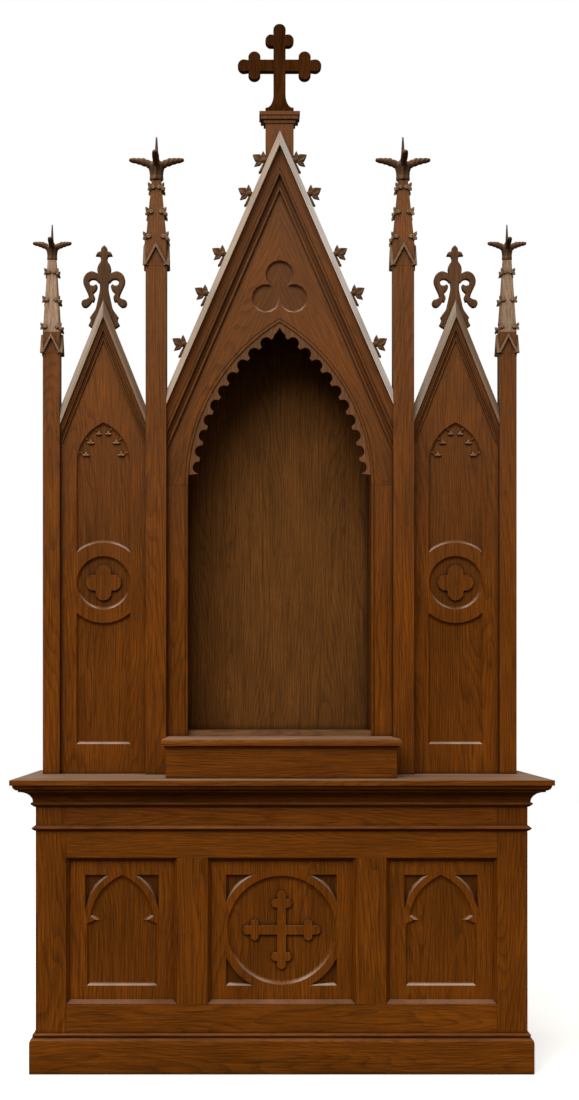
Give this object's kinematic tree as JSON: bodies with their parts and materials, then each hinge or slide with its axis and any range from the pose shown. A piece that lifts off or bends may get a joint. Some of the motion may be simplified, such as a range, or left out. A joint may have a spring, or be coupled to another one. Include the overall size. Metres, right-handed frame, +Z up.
{
  "type": "church altar",
  "caption": "Gothic oak altar: panelled table base with a predella step and a tall reredos with a deep arched niche, gables, pinnacles and a cross.",
  "frame": {"origin": "middle of the footprint at floor level, under the mensa board's centre", "axes": "+Z up, front of the altar towards -Y, +X to the right seen from the front"},
  "size_m": [1.84, 0.8, 3.7661],
  "materials": {
    "oak_body": "stained, satin varnish",
    "oak_niche": "stained, satin varnish",
    "oak_carved": "stained, rubbed satin varnish",
    "oak_dark": "dark stained, satin varnish"
  },
  "bodies": {
    "root": {"mensa_top": "oak_body", "cornice_front": "oak_body", "cornice_left": "oak_body", "cornice_right": "oak_body", "string_front": "oak_body", "string_left": "oak_body", "string_right": "oak_body", "plinth_front": "oak_body", "plinth_left": "oak_body", "plinth_right": "oak_body", "stile_left": "oak_body", "stile_right": "oak_body", "muntin_left": "oak_body", "muntin_right": "oak_body", "top_rail": "oak_body", "bottom_rail": "oak_body", "panel_left": "oak_body", "panel_centre": "oak_body", "panel_right": "oak_body", "end_left": "oak_body", "end_right": "oak_body", "back_board": "oak_body", "predella_front": "oak_body", "predella_left": "oak_body", "predella_right": "oak_body", "predella_top": "oak_body", "jamb_left": "oak_body", "jamb_right": "oak_body", "gable_board": "oak_body", "niche_tracery": "oak_niche", "niche_side_left": "oak_niche", "niche_side_right": "oak_niche", "niche_roof_left": "oak_niche", "niche_roof_right": "oak_niche", "niche_back": "oak_niche", "niche_floor": "oak_niche", "gable_rake_left": "oak_body", "gable_rake_right": "oak_body", "cross_pedestal": "oak_dark", "cross": "oak_dark", "post_inner_left": "oak_body", "post_inner_right": "oak_body", "post_outer_left": "oak_body", "post_outer_right": "oak_body", "pinnacle_inner_left": "oak_carved", "pinnacle_inner_right": "oak_carved", "pinnacle_outer_left": "oak_carved", "pinnacle_outer_right": "oak_carved", "finial_inner_left": "oak_carved", "finial_inner_right": "oak_carved", "finial_outer_left": "oak_carved", "finial_outer_right": "oak_carved", "side_board_left": "oak_body", "side_board_right": "oak_body", "side_rake_left_outer": "oak_body", "side_rake_left_inner": "oak_body", "side_rake_right_outer": "oak_body", "side_rake_right_inner": "oak_body", "fleur_left": "oak_carved", "fleur_right": "oak_carved"}
  },
  "joints": []
}
